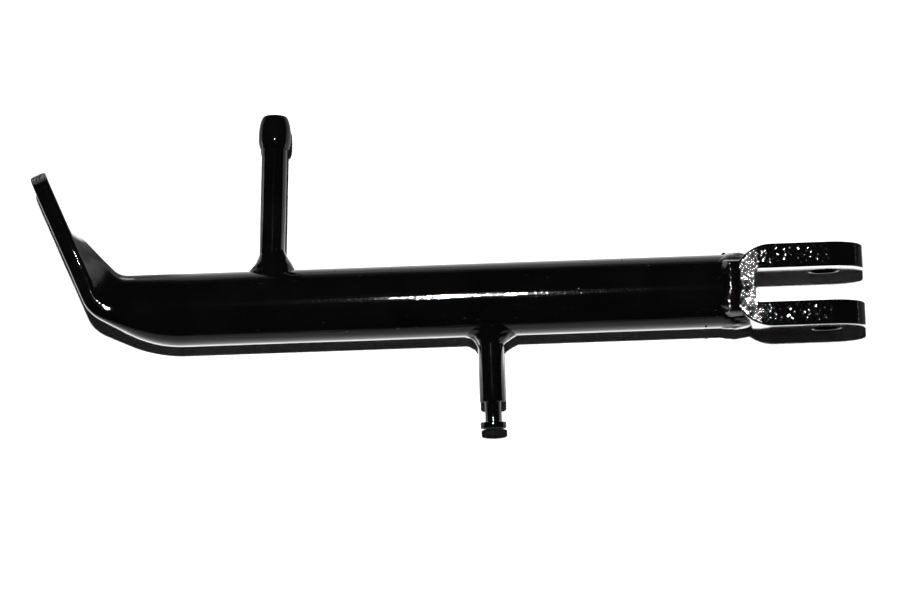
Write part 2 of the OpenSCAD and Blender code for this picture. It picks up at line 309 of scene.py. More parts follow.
def makeFloor():
    # a pale board: lit and shadowed near the stand, plain white further out
    s = lightSet
    reach = s["floorReach"]
    level = cadBox[0].z - 0.00005
    mesh = bpy.data.meshes.new("floor")
    corners = [(-reach, -reach), (reach, -reach), (reach, reach), (-reach, reach)]
    mesh.from_pydata([(x, y, level) for x, y in corners], [], [[0, 1, 2, 3]])
    floor = bpy.data.objects.new("floor", mesh)
    bpy.context.scene.collection.objects.link(floor)

    material = bpy.data.materials.new("pale board")
    nodes = Nodes(material)
    path = nodes.add("LightPath")
    place = nodes.add("TexCoord").outputs["Object"]
    middle = Vector(cameraSet["lookAt"]) * mm
    shift = nodes.add("VectorMath", {0: place, 1: middle}, "SUBTRACT").outputs[0]
    away = nodes.add("VectorMath", {0: shift}, "LENGTH").outputs["Value"]
    fade = nodes.ranged(away, s["fadeStart"], s["fadeEnd"], smooth=True)

    def board(tone):
        return nodes.add("BsdfDiffuse", {"Color": tone}).outputs[0]

    def choose(share, first, second):
        return nodes.add("MixShader", {"Fac": share, 1: first, 2: second}).outputs[0]

    def scaled(tone, share):
        return nodes.add("VectorMath", {0: tone, "Scale": share}, "SCALE").outputs[0]

    def farFrom(x, y):
        spot = Vector((x, y, level / mm)) * mm
        return nodes.add("VectorMath", {0: place, 1: spot}, "DISTANCE").outputs["Value"]

    # the board as the enamel mirrors it, with painted light and shade that only reflections see
    split = nodes.add("SeparateXYZ", {0: shift})
    first, last = s["mirrored"][0][0], s["mirrored"][-1][0]
    ramp = nodes.add("ValToRGB", {"Fac": nodes.ranged(split.outputs["Y"], first, last)})
    elements = ramp.color_ramp.elements
    while len(elements) > 1:
        elements.remove(elements[0])
    for k, (at, share) in enumerate(s["mirrored"]):
        spot = (at - first) / (last - first)
        element = elements[0] if k == 0 else elements.new(spot)
        element.position = spot
        element.color = grey(share * s["floorSeen"])
    # the painted light also falls off along the stand, from its middle outwards
    endwise = nodes.add("Math", {0: split.outputs["X"]}, "ABSOLUTE").outputs[0]
    tone = scaled(ramp.outputs["Color"], nodes.ranged(endwise, *s["mirroredEnds"], 1, s["mirroredLeast"]))
    # painted shade spots darken the board that the enamel reflects
    for x, y, full, over, least in s["paintedShadeSpots"]:
        tone = scaled(tone, nodes.ranged(farFrom(x, y), full * mm, over * mm, least, 1, smooth=True))
    # a painted glow on the board, brightest at its middle, which only reflections see
    full, over = s["footGlowReach"]
    brightest = s["footGlowLevel"] * s["floorSeen"]
    glow = nodes.ranged(farFrom(*s["paintedFootGlow"]), full * mm, over * mm, brightest, 0, smooth=True)
    tone = nodes.add("VectorMath", {0: tone, 1: glow}, "MAXIMUM").outputs[0]

    white = nodes.add("Emission", {"Strength": 1}).outputs[0]
    seen = choose(fade, board(grey(s["floorSeen"])), white)
    # glossy rays see the board with its painted light and shade, other rays see the plainly lit board
    unseen = choose(path.outputs["Is Glossy Ray"], board(grey(s["floorColour"])), board(tone))
    nodes.add("OutputMaterial", {"Surface": choose(path.outputs["Is Camera Ray"], unseen, seen)})
    mesh.materials.append(material)


# enamel

enamelSet = {
    "deep": (0.0011, 0.0011, 0.0012),
    "pale": (0.0025, 0.0025, 0.0027),
    "ior": 1.5,
    "cloudScale": 55.0,
    "glossScale": 160.0,
    "worn": (0.15, 0.15, 0.16),
    "wornScale": 1300.0,
    "wornDull": 0.4,
    "wornFrom": (0.1462, 0.1480),    # metres along the foot, from the pivot
    "peelScale": 1250.0,
    "peelDepth": 0.00004,
    "drawnScale": 1700.0,            # the tube's drawing lines, seen through the enamel
    "drawnStretch": 0.03,
    "drawnDepth": 0.000032,
}


def enamelMaterial(name, roughLow, roughHigh, peel, drawn=False, lumpScale=0.0, lumpDepth=0.0,
                   flatOnly=False, wornTip=False):
    s = enamelSet
    material = bpy.data.materials.new(name)
    nodes = Nodes(material)
    skin = nodes.add("BsdfPrincipled", {"IOR": s["ior"]})
    nodes.add("OutputMaterial", {"Surface": skin.outputs[0]})
    coordinates = nodes.add("TexCoord")
    place = coordinates.outputs["Object"]

    # slow changes of depth in the black, and of gloss
    tone = nodes.add("ValToRGB", {"Fac": nodes.grain(place, s["cloudScale"], 4)})
    for element, spot, shade in zip(tone.color_ramp.elements, (0.35, 0.75), ("deep", "pale")):
        element.position = spot
        element.color = s[shade] + (1,)
    colour = tone.outputs["Color"]
    gloss = nodes.ranged(nodes.grain(place, s["glossScale"], 3), 0.3, 0.7, roughLow, roughHigh)

    if wornTip:
        # the enamel is rubbed thin and grey at the very end of the foot
        footTurn = math.radians(legSet["footTurn"])
        outward = (-math.cos(footTurn), math.sin(footTurn), 0)
        lengthwise = nodes.add("VectorMath", {0: place, 1: outward}, "DOT_PRODUCT")
        toTip = nodes.ranged(lengthwise.outputs["Value"], *s["wornFrom"])
        patchy = nodes.ranged(nodes.grain(place, s["wornScale"], 3), 0.36, 0.62)
        worn = nodes.add("Math", {0: toTip, 1: patchy}, "MULTIPLY").outputs[0]
        thinned = nodes.add("Mix")
        thinned.data_type = "RGBA"
        nodes.fill(thinned, {"Factor": worn, "A": colour, "B": s["worn"] + (1,)})
        colour = thinned.outputs["Result"]
        gloss = nodes.add("Math", {0: worn, 1: s["wornDull"], 2: gloss}, "MULTIPLY_ADD").outputs[0]

    # orange peel, over lumps or drawing lines
    skinBump = nodes.bump(nodes.grain(place, s["peelScale"], 1.5), s["peelDepth"] * peel)
    if lumpScale:
        lumps = nodes.bump(nodes.grain(place, lumpScale, 0.8), lumpDepth)
        nodes.fill(skinBump, {"Normal": lumps.outputs["Normal"]})
        if flatOnly:        # only the cut edges are lumpy, the rolled faces of the strap are smooth
            facing = nodes.add("SeparateXYZ", {0: coordinates.outputs["Normal"]})
            upright = nodes.add("Math", {0: facing.outputs["Z"]}, "ABSOLUTE")
            nodes.fill(lumps, {"Strength": nodes.ranged(upright.outputs[0], 0.55, 0.85)})
    if drawn:
        stretch = nodes.add("Mapping", {"Vector": place, "Scale": (s["drawnStretch"], 1, 1)})
        lines = nodes.bump(nodes.grain(stretch.outputs["Vector"], s["drawnScale"], 1), s["drawnDepth"])
        nodes.fill(skinBump, {"Normal": lines.outputs["Normal"]})
    nodes.fill(skin, {"Base Color": colour, "Roughness": gloss, "Normal": skinBump.outputs["Normal"]})
    return material


# the leg: round tube, wide bend, and the foot pressed flat from the same tube

legSet = {
    "tubeOd": 26.0,
    "wall": 3.0,
    "bendStart": 226.0,
    "copeDepth": 3.0,
    "bendRadius": 42.0,
    "bendTurn": 28.0,
    "pressRun": 9.0,
    "heelRadius": 13.5,
    "footTurn": 67.5,
    "soleLength": 48.5,
    "tipCorner": 5.0,
    "crotchBack": 22.3,
    "crotchRadius": 7.0,
    "ridgeSlope": 47.0,
    "pressStart": 0.08,
    "pressDone": 0.62,
    "ridgeRound": 0.33,
    "rimPower": 0.5,                # under 1 the rims of the foot are squarer than round
    "slit": 0.2,
    "cavityEnd": 0.9,
    "pressMarks": 0.14,
    "markSizes": (9, 4),
    "markRun": (6, 30),             # mm past the start of the bend: where they begin, and grow over
    "around": 144,
    "tubeStep": 3.0,
    "pressRings": 84,
    "flatRings": 16,
    "cornerRings": 12,
    "cavityRings": 14,
    "nibs": 46,
    "nibCrowds": [(-45, 9), (-118, 10), (-190, 12)],    # x of the welds, and spread
    "waves": 0.03,                  # slow waves along the tube, which break its highlight
    "waveSize": 20,
    "tipRough": 0.3,
    "tipRound": 1.25,
    "tipFace": [(1.8, 0.03), (2.45, 0.0), (2.72, -0.25)],   # rings of the end face: inset, forward
    "dent": (-248.5, 4.2, 0.42),    # where the press nipped the top of the bend: place, reach, depth
    "heelNarrow": 0.04,             # the foot is this share narrower at the heel
    # (x, degrees round from the top, radius) of the larger specks of the tube
    "specks": [(-111.3, 7, 0.42), (-101.6, -5, 0.5), (-95.6, -2, 0.45), (-86.8, 4, 0.5), (-147.0, -27, 0.4),
               (-123.8, -2, 0.55), (-119.2, -1, 0.5), (-126.9, -5, 0.35), (-76.5, 2, 0.3),
               (-146.1, -1, 0.3), (-168.5, 1, 0.32), (-163.2, 1, 0.28), (-129.5, 52, 0.45),
               (-152.0, 61, 0.4), (-97.5, 24, 0.35), (-105.0, 30, 0.3), (-90.6, -16, 0.35),
               (-91.8, -24, 0.35), (-103.2, -13, 0.3), (-176.0, -34, 0.4), (-168.1, -52, 0.5),
               (-150.0, -50, 0.5), (-143.5, -50, 0.4), (-133.5, -31, 0.3), (-229.2, -10, 0.35),
               (-241.8, -38, 0.35), (-212.1, -20, 0.4), (-185.7, 35, 0.35), (-62.0, 41, 0.4),
               (-52.4, 12, 0.3), (-58.2, -20, 0.35), (-71.0, 62, 0.45), (-84.0, 66, 0.35),
               (-205.0, 16, 0.3), (-199.0, -44, 0.35)],
}
tubeR = legSet["tubeOd"] / 2
clevisHalf = clevisHigh.y
clevisBack = -clevisLow.x
backCentre = clevisHalf - clevisBack


def makeLeg(material):
    s = legSet
    footWidth = legHigh.z - legLow.z
    footT = 2 * s["wall"]
    bendLength = s["bendRadius"] * math.radians(s["bendTurn"])
    heelLength = s["heelRadius"] * math.radians(s["footTurn"] - s["bendTurn"])
    heelFrom = bendLength + s["pressRun"]
    soleFrom = heelFrom + heelLength
    outerStart = np.array([0.0, -tubeR])
    runPoint = outerStart + arcMove(s["bendRadius"], 0, s["bendTurn"])
    heelPoint = runPoint + s["pressRun"] * along(s["bendTurn"])
    solePoint = heelPoint + arcMove(s["heelRadius"], s["bendTurn"], s["footTurn"])

    def outerTurn(at):
        if at < bendLength:
            return at / bendLength * s["bendTurn"]
        if at < heelFrom:
            return s["bendTurn"]
        if at < soleFrom:
            return s["bendTurn"] + (at - heelFrom) / heelLength * (s["footTurn"] - s["bendTurn"])
        return s["footTurn"]

    def outerPlace(at):
        if at < bendLength:
            return outerStart + arcMove(s["bendRadius"], 0, outerTurn(at))
        if at < heelFrom:
            return runPoint + (at - bendLength) * along(s["bendTurn"])
        if at < soleFrom:
            return heelPoint + arcMove(s["heelRadius"], s["bendTurn"], outerTurn(at))
        return solePoint + (at - soleFrom) * along(s["footTurn"])

    slope = s["ridgeSlope"]
    innerStart = np.array([0.0, tubeR])
    crotchFrom = s["crotchBack"] - s["crotchRadius"] * math.tan(math.radians(slope / 2))
    crotchLength = s["crotchRadius"] * math.radians(slope)
    ridgeFrom = crotchFrom + crotchLength
    crotchPoint = innerStart + np.array([crotchFrom, 0])
    ridgePoint = crotchPoint + arcMove(s["crotchRadius"], 0, slope)
    footTurn = math.radians(s["footTurn"])
    footNormal = np.array([-math.sin(footTurn), math.cos(footTurn)])
    ridgeLength = (footT - (ridgePoint - solePoint) @ footNormal) / (along(slope) @ footNormal)
    innerLength = ridgeFrom + ridgeLength
    ridgeEnd = ridgePoint + ridgeLength * along(slope)

    def innerPlace(at):
        if at < crotchFrom:
            return innerStart + np.array([at, 0])
        if at < ridgeFrom:
            return crotchPoint + arcMove(s["crotchRadius"], 0, (at - crotchFrom) / crotchLength * slope)
        return ridgePoint + (at - ridgeFrom) * along(slope)

    flatFrom = soleFrom + (ridgeEnd - solePoint) @ along(s["footTurn"])
    soleEnd = soleFrom + s["soleLength"]
    count = s["around"]
    fine = (np.arange(1440) + 0.5) * 2 * math.pi / 1440 - math.pi / 2
    sine, cosine = np.sin(fine), np.cos(fine)

    def crossSection(depth, width, press, skin):
        # half round tube, half pressed: two rim folds, and the ridge where it isn't shut yet
        roundShape = np.column_stack([depth / 2 + (depth / 2 - skin) * sine, (tubeR - skin) * cosine])
        rimR = max(footT / 2 - skin, s["slit"])
        rimZ = width / 2 - footT / 2
        topR = footT / 2 + s["ridgeRound"] * (depth - footT)
        ridgeReach = (depth - topR) * sine + topR
        rimReach = footT / 2 * sine + footT / 2 + rimZ * np.abs(cosine)
        ridge = np.column_stack([depth - topR + (topR - skin) * sine, (topR - skin) * cosine])
        squarer = s["rimPower"]
        rim = np.column_stack([footT / 2 + rimR * np.sign(sine) * np.abs(sine) ** squarer,
                               np.sign(cosine) * (rimZ + rimR * np.abs(cosine) ** squarer)])
        pressed = np.where((ridgeReach > rimReach)[:, None], ridge, rim)
        return evenLoop((1 - press) * roundShape + press * pressed, count)

    def ring(foot, lean, depth, stretch, press, width, skin, forward=0.0):
        shape = crossSection(depth, width, press, skin)
        places = foot + lean * (shape[:, :1] * stretch) + forward * np.array([lean[1], -lean[0]])
        return np.column_stack([-s["bendStart"] - places[:, 0], places[:, 1], shape[:, 1]])

    def pressRing(f, skin):
        at = f * flatFrom
        foot = outerPlace(at)
        reach = innerPlace(f * innerLength) - foot
        lean = reach / np.linalg.norm(reach)
        turn = math.radians(outerTurn(at))
        straightness = lean @ np.array([-math.sin(turn), math.cos(turn)])
        press = ease((f - s["pressStart"]) / (s["pressDone"] - s["pressStart"]))
        depth = np.linalg.norm(reach) * straightness
        return ring(foot, lean, depth, 1 / straightness, press, footWidth, skin)

    def tipWidth(at):
        into = max(at - (soleEnd - s["tipCorner"]), 0)
        return footWidth - 2 * (s["tipCorner"] - math.sqrt(max(s["tipCorner"] ** 2 - into * into, 0)))

    def soleRing(at, skin=0.0, forward=0.0):
        return ring(outerPlace(at), footNormal, footT, 1, 1, tipWidth(at), skin, forward)

    def tubeRing(x, skin):
        points = ring(np.array([0, -tubeR]), np.array([0, 1]), s["tubeOd"], 1, 0, footWidth, skin)
        return np.column_stack([np.full(count, x), points[:, 1], points[:, 2]])

    def mouthRing(skin):
        # the cope follows the round back of the clevis
        points = tubeRing(0, skin)
        flat = -(clevisBack - s["copeDepth"])
        coped = backCentre - np.sqrt(np.maximum(clevisHalf ** 2 - points[:, 1] ** 2, 0))
        points[:, 0] = np.minimum(flat, coped)
        return points

    mouthX = -clevisBack - 0.5
    steps = int((s["bendStart"] + mouthX) / s["tubeStep"])
    outer = [mouthRing(0)]
    outer += [tubeRing(mouthX + (-s["bendStart"] - mouthX) * k / steps, 0) for k in range(steps)]
    outer += [pressRing(k / s["pressRings"], 0) for k in range(s["pressRings"] + 1)]
    flatRings, corner = s["flatRings"], s["cornerRings"]
    straightEnd = soleEnd - s["tipCorner"]
    outer += [soleRing(flatFrom + (straightEnd - flatFrom) * k / flatRings) for k in range(1, flatRings + 1)]
    tipFrom = len(outer) - 2
    # the tip: its corners, its rounded edge, and the rough end face
    before = [s["tipCorner"] * math.cos(math.pi / 2 * k / corner) for k in range(1, corner)]
    for short in before + [0.5, 0.36, 0.24, 0.14, 0.06, 0.0]:
        left = max(s["tipRound"] - short, 0)
        outer.append(soleRing(soleEnd - short, s["tipRound"] - math.sqrt(s["tipRound"] ** 2 - left ** 2)))
    outer += [soleRing(soleEnd, skin, forward) for skin, forward in s["tipFace"]]

    # press marks and hand-made unevenness on the bend and the foot
    marked = []
    for index, points in enumerate(outer):
        x = points[:, 0].mean()
        amount = ease((-x - s["bendStart"] - s["markRun"][0]) / s["markRun"][1])
        if amount > 0:
            centre = points.mean(axis=0)
            for k, p in enumerate(points):
                away = (p - centre) / max(np.linalg.norm(p - centre), 1e-6)
                broad, small = s["markSizes"]
                push = s["pressMarks"] * (wobble(p, broad, 1.0) + 0.6 * wobble(p, small, 2.0))
                points[k] = p + away * push * amount
        if -s["bendStart"] - 20 < x < mouthX:
            # slow waves of the drawn tube
            share = ease((x + s["bendStart"] + 20) / 30) * ease((mouthX - x) / 12)
            points[:, 2] += share * s["waves"] * wobble((x, 0, 0), s["waveSize"], 31.0) * points[:, 2] / tubeR
        where, reach, depth = s["dent"]
        near = np.exp(-((points[:, 0] - where) / reach) ** 2 - (points[:, 1] / 9) ** 2)
        points[:, 2] -= np.sign(points[:, 2]) * np.minimum(depth, np.abs(points[:, 2])) * near
        sole = (-points[:, 0] - s["bendStart"] - solePoint[0]) * along(s["footTurn"])[0]
        sole += (points[:, 1] - solePoint[1]) * along(s["footTurn"])[1]
        heel = [1 - ease((q - 8) / 12) if q > -4 else ease((q + 16) / 12) for q in sole]
        points[:, 2] *= 1 - s["heelNarrow"] * np.array(heel)
        if index >= tipFrom:
            for p in points:
                nick = s["tipRough"] * (0.6 * wobble(p, 1.2, 8.0) - 0.2) * ease((index - tipFrom) / 4)
                p[2] += np.sign(p[2]) * nick
        points[:, 2] = np.clip(points[:, 2], legLow.z, legHigh.z)
        marked.append(points)

    leg = Mesh()
    leg.grid(marked, wrapColumns=True)
    leg.cap(marked[-1])
    inner = [mouthRing(s["wall"]), tubeRing(-s["bendStart"] + 1, s["wall"])]
    inner += [pressRing(s["cavityEnd"] * k / s["cavityRings"], s["wall"]) for k in range(s["cavityRings"] + 1)]
    leg.grid(inner, wrapColumns=True, flip=True)
    leg.cap(inner[-1], flip=True)
    leg.grid([marked[0], inner[0]], wrapColumns=True, flip=True)

    # nibs of dust and stray spatter under the enamel, more of them near the welds
    chooser = random.Random(7)
    crowded = s["nibCrowds"]
    for k in range(s["nibs"]):
        if k % 3:
            middle, spread = crowded[k % len(crowded)]
            x = chooser.gauss(middle, spread * 1.6)
        else:
            x = chooser.uniform(-s["bendStart"] - 5, -clevisBack - 8)
        x = min(max(x, -s["bendStart"] - 4), -clevisBack - 9)
        a = math.radians(chooser.gauss(90, 40))
        normal = (0, math.cos(a), math.sin(a))
        centre = (x, tubeR * normal[1], tubeR * normal[2])
        radius = chooser.uniform(0.16, 0.38)
        leg.add(*dropVerts(centre, normal, radius, radius * chooser.uniform(0.25, 0.55), 3, 10))
    for x, turn, radius in s["specks"]:
        normal = (0, math.sin(math.radians(turn)), math.cos(math.radians(turn)))
        centre = (x, (tubeR - 0.02) * normal[1], (tubeR - 0.02) * normal[2])
        leg.add(*dropVerts(centre, normal, radius * 1.25, radius * 0.4, 5, 16))
    leg.make("leg_tube_enamel", "leg_tube", "enamel", material)


# the clevis: a thick strap bent into a U, its edges left as they were cut

clevisSet = {
    "slotGap": 11.8,
    "slotReach": 25.4,
    "slotCorner": 1.4,
    "edgeRound": 0.6,
    "backBevel": 0.9,
    "backDrop": 0.8,
    "boreRound": 0.4,
    "earPatch": 10.0,
    "cutDepth": 0.21,
    "webTilt": 0.077,               # how fast the cut edge falls away towards the weld
    "webFrom": -23.5,
    "edgeColumns": 34,
    "cornerSteps": 4,
    "roundSteps": 56,               # round the ear's tip, along its edge, along the straight arm
    "topSteps": 26,
    "straightSteps": 20,
    "backSteps": 150,
    "widthSteps": 26,
    "earSteps": 9,
    "boreSteps": 6,
}


def makeClevis(material):
    s = clevisSet
    earR = clevisHigh.x
    halfWidth = clevisHigh.z
    inside = s["slotGap"] / 2
    boreR = pivotBore["dims"]["r_mm"]
    e = s["edgeRound"]

    def innerBack(f):
        # from (backCentre, inside) round the closed end of the slot, f from 0 to 1
        corner = s["slotCorner"]
        run = s["slotReach"] - corner + backCentre
        turn = corner * math.pi / 2
        end = 2 * (inside - corner)
        total = 2 * run + 2 * turn + end
        at = f * total
        if at > total / 2:
            x, y = innerBack(1 - f)
            return x, -y
        if at < run:
            return backCentre - at, inside
        if at < run + turn:
            a = (at - run) / corner
            return -(s["slotReach"] - corner) - corner * math.sin(a), inside - corner + corner * math.cos(a)
        return -s["slotReach"], inside - corner - (at - run - turn)

    # stations along the strap from one ear's tip, round the back, to the other's
    stations = []       # inner point, outer point, half width, how far round the back, round angle

    def armStation(x, half=halfWidth, roundAngle=0.0):
        stations.append([(x, inside), (x, clevisHalf), half, 0.0, roundAngle])

    for k in range(s["roundSteps"] + 1):
        a = math.radians(90 * (1 - k / s["roundSteps"]))
        armStation(earR * math.sin(a), halfWidth * math.cos(a), a)
    for k in range(1, s["topSteps"] + 1):
        armStation(-s["earPatch"] * k / s["topSteps"])
    earCount = len(stations)
    for k in range(1, s["straightSteps"] + 1):
        armStation(-s["earPatch"] + (backCentre + s["earPatch"]) * k / s["straightSteps"])
    backSteps = s["backSteps"]
    for k in range(1, backSteps):
        f = k / backSteps
        a = math.pi / 2 + math.pi * f
        outer = (backCentre + clevisHalf * math.cos(a), clevisHalf * math.sin(a))
        stations.append([innerBack(f), outer, halfWidth, math.sin(math.pi * f), 0.0])
    firstHalf = stations[:-(backSteps - 1)]
    stations += [[(p[0], -p[1]), (q[0], -q[1]), h, b, r] for p, q, h, b, r in reversed(firstHalf)]

    def backShare(station):
        return ease(station[3] * 1.6 - 0.35)

    def webDrop(x):
        fall = max(0.0, s["webFrom"] - x)
        return s["webTilt"] * fall * ease(fall / 2.5)

    def skinInset(station, outside):
        edge = e + (s["backDrop"] - e) * (backShare(station) if outside else 0)
        return edge + webDrop(station[1 if outside else 0][0])

    def pointAt(station, v, inset, sign):
        inner, outer, half, _, roundAngle = station
        x = inner[0] + (outer[0] - inner[0]) * v
        y = inner[1] + (outer[1] - inner[1]) * v
        if roundAngle > 0:
            return [x - inset * math.sin(roundAngle), y, sign * (half - inset * math.cos(roundAngle))]
        return [x, y, sign * (half - inset)]

    columns, corner = s["edgeColumns"], s["cornerSteps"]

    def edgeProfile(station):
        # (how far across the strap, how far below its edge face), from the slot side outwards
        thick = math.dist(station[0], station[1])
        back = backShare(station)
        nearV = e / thick
        farV = (e + (s["backBevel"] - e) * back) / thick
        farDrop = e + (s["backDrop"] - e) * back
        found = []
        for k in range(corner):
            a = math.pi / 2 * k / corner
            found.append((nearV * (1 - math.cos(a)), e * (1 - math.sin(a)), 0.0))
        for k in range(columns + 1):
            t = k / columns
            rise = min(1, 4 * t, 4 * (1 - t))
            found.append((nearV + (1 - farV - nearV) * t, 0.0, 0.25 + 0.75 * rise))
        for k in range(corner - 1, -1, -1):
            a = math.pi / 2 * k / corner
            found.append((1 - farV * (1 - math.cos(a)), farDrop * (1 - math.sin(a)), 0.0))
        return found

    def cutRow(station, sign):
        # the sheared edge face, rougher towards the web and smoother round the ears
        row = []
        calm = 1 - ease((station[0][0] + 1.5) / 5)
        amount = s["cutDepth"] * calm * (1 - 0.4 * ease(station[3] * 1.4))
        if station[0][0] > -19:     # the ear on the kick peg's side is cut cleaner
            amount *= 0.9 if station[0][1] > 0 else 1.15
        for v, inset, rough in edgeProfile(station):
            p = pointAt(station, v, inset, sign)
            drop = 0.0
            if rough:
                # the tears run slanting across the strap, and are finer in the web
                torn = (p[0] + 0.7 * p[1], 1.35 * (p[1] - 0.7 * p[0]), sign)
                fine = ease((-18 - station[1][0]) / 4)
                wide = 0.7 * wobble(torn, 1.7, 5.0 + sign) + 0.5 * wobble(p, 0.9, 3.0 + sign)
                close = 0.8 * wobble(torn, 1.15, 15.0 + sign) + 0.48 * wobble(p, 0.62, 13.0 + sign)
                drop = amount * rough * ((1 - fine) * wide + fine * close)
                drop += 0.06 * calm * rough
            drop += webDrop(p[0])
            row.append(pointAt(station, v, inset + drop, sign))
        return row

    clevis = Mesh()
    clevis.grid([cutRow(st, 1) for st in stations])
    clevis.grid([cutRow(st, -1) for st in stations], flip=True)

    # skins of the two faces of the strap behind the ears
    middle = [st for st in stations if st[0][0] <= -s["earPatch"] + 1e-6]
    tilt = math.atan2(s["earPatch"], halfWidth - e)
    tilts = [tilt + (math.pi - 2 * tilt) * k / s["widthSteps"] for k in range(s["widthSteps"] + 1)]
    levels = [s["earPatch"] / math.tan(a) / (halfWidth - e) for a in tilts]
    for outside in (False, True):
        rows = []
        for st in middle:
            inset = skinInset(st, outside)
            x, y = st[1] if outside else st[0]
            rows.append([[x, y, level * (st[2] - inset)] for level in levels])
        clevis.grid(rows, flip=not outside)

    # round ears with the pivot bore
    for side in (1, -1):
        edgeLine = [pointAt(st, 0, e, 1)[::2] for st in stations[:earCount]]
        backLine = [(-s["earPatch"], level * (halfWidth - e)) for level in levels[1:-1]]
        border = edgeLine + backLine + [(x, -z) for x, z in reversed(edgeLine[1:])]
        steps, corner, rim = s["earSteps"], s["cornerSteps"], boreR + s["boreRound"]
        walls = []
        for y, outward in ((inside, -1), (clevisHalf, 1)):
            rows = []
            for x, z in border:
                far = math.hypot(x, z)
                ux, uz = x / far, z / far
                row = [[x + (ux * rim - x) * k / steps, side * y, z + (uz * rim - z) * k / steps]
                       for k in range(steps + 1)]
                for k in range(1, corner + 1):
                    a = math.pi / 2 * k / corner
                    r = boreR + s["boreRound"] * (1 - math.sin(a))
                    row.append([ux * r, side * (y - outward * s["boreRound"] * (1 - math.cos(a))), uz * r])
                rows.append(row)
            clevis.grid(rows, wrapRows=True)
            walls.append([row[-1] for row in rows])
        deep = s["boreSteps"]
        bore = [[[a[i] + (b[i] - a[i]) * k / deep for i in range(3)] for k in range(deep + 1)]
                for a, b in zip(*walls)]
        clevis.grid(bore, wrapRows=True)
    clevis.make("clevis_enamel", "clevis", "edge_enamel", material, sharpAngle=60, join=0.004)


# pegs

kickSet = {
    "place": 194.5,
    "lean": 2.5,
    "droop": 1.5,                   # degrees that it hangs below the tube's middle plane
    "rodD": 9.0,
    "knobD": 11.4,
    "knobH": 12.2,
    "belly": 0.25,
    "topShare": 0.36,
    "step": 0.55,
    "topPower": 1.9,
    "knobSteps": 30,
    "root": 5.0,
}

springSet = {
    "place": 118.0,
    "droop": 2.0,
    "shankD": 9.1,
    "shank": 23.2,
    "grooveD": 5.6,
    "groove": 7.0,
    "headT": 2.3,
    "edge": 0.45,
    "root": 5.0,
}


def drooping(axis, degrees):
    return Vector(axis) - Vector((0, 0, math.tan(math.radians(degrees))))


def turnedShape(shape, place, axis, around=72, ripple=0.0):
    # a profile of (radius, height) turned about an axis that stands on the tube
    axis = Vector(axis).normalized()
    other = axis.cross(Vector((0, 0, 1))).normalized()
    side = other.cross(axis)
    rows = []
    for radius, height in shape:
        row = []
        for k in range(around):
            a = 2 * math.pi * k / around
            outward = side * math.cos(a) + other * math.sin(a)
            p = Vector(place) + axis * height + outward * radius
            if ripple and radius > 0.5:
                p = p + outward * ripple * wobble(p, 3.5, 4.0)
            row.append(p)
        rows.append(row)
    return rows


def roundedLine(shape, radius, steps=4):
    # rounds the marked corners of a profile: each entry is (radius, height, rounded or not)
    found = []
    for k, (r, h, soft) in enumerate(shape):
        if not soft:
            found.append((r, h))
            continue
        here = Vector((r, h))
        before = Vector(shape[k - 1][:2]) - here
        after = Vector(shape[k + 1][:2]) - here
        cut = min(radius, before.length * 0.45, after.length * 0.45)
        a = here + before.normalized() * cut
        b = here + after.normalized() * cut
        for j in range(steps + 1):
            t = j / steps
            p = a * (1 - t) ** 2 + here * 2 * t * (1 - t) + b * t * t
            found.append((p.x, p.y))
    return found


def makeKickPeg(material):
    s = kickSet
    lean = math.radians(s["lean"])
    axis = (math.sin(lean), math.cos(lean), 0)
    length = (kickHigh.y - tubeR) / math.cos(lean)
    rodR, knobR = s["rodD"] / 2, s["knobD"] / 2
    topR = s["knobD"] * s["topShare"]
    base = length - s["knobH"]
    shape = [(0.001, -s["root"]), (rodR, -s["root"])]
    shape += [(rodR, -s["root"] + (base + s["root"]) * k / 24) for k in range(1, 25)]
    shape.append((rodR + s["step"] * 0.5, base + 0.05))
    for k in range(s["knobSteps"] + 1):
        t = k / s["knobSteps"]
        if t < s["belly"]:
            r = rodR + s["step"] + (knobR - rodR - s["step"]) * math.sin(math.pi / 2 * t / s["belly"])
        else:
            u = ((t - s["belly"]) / (1 - s["belly"])) ** s["topPower"]
            r = topR + (knobR - topR) * math.cos(math.pi / 2 * u)
        shape.append((r, base + s["knobH"] * t - 0.35 * max(0, t - 0.93) / 0.07))
    shape += [(topR * 0.8, length - 0.12), (topR * 0.4, length), (0.001, length)]
    peg = Mesh()
    rows = turnedShape(shape, (-s["place"], tubeR, 0), drooping(axis, s["droop"]), ripple=0.05)
    peg.grid(rows, wrapColumns=True)
    peg.make("kick_peg_enamel", "kick_peg", "enamel", material)


def makeSpringPeg(material):
    s = springSet
    shankR, grooveR = s["shankD"] / 2, s["grooveD"] / 2
    grooveTop = s["shank"] + s["groove"]
    end = -springLow.y - tubeR
    shape = [(0.001, -s["root"], False), (shankR, -s["root"], False)]
    shape += [(shankR, s["shank"] * k / 12, False) for k in range(12)]
    shape += [(shankR, s["shank"], True), (grooveR, s["shank"], True),
              (grooveR, grooveTop, True), (shankR, grooveTop, True),
              (shankR, end, True), (0.001, end, False)]
    peg = Mesh()
    rows = turnedShape(roundedLine(shape, s["edge"]), (-s["place"], -tubeR, 0),
                       drooping((0, -1, 0), s["droop"]), ripple=0.03)
    peg.grid(rows, wrapColumns=True)
    peg.make("spring_peg_enamel", "spring_peg", "enamel", material)


# welds

pegWeldSet = {
    # hollow: how concave the fillet is where the angle is 0, and at the opposite side
    "kick": {"height": 6.5, "reach": 3.9, "hollow": (0.1, 0.4), "farSide": 1.0, "ripples": 7, "ripple": 0.03,
             "lumpAt": -20, "lump": 0.22, "seed": 11.0},
    "spring": {"height": 5.0, "reach": 4.9, "hollow": (1.0, 0.2), "farSide": 0.62, "ripples": 5, "ripple": 0.05,
               "lumpAt": 170, "lump": 0.12, "seed": 17.0},
    "lumpSpread": 24.0,
    "around": 120,
    "across": 26,
    "sunk": 0.25,                   # mm that the weld reaches into the peg
}

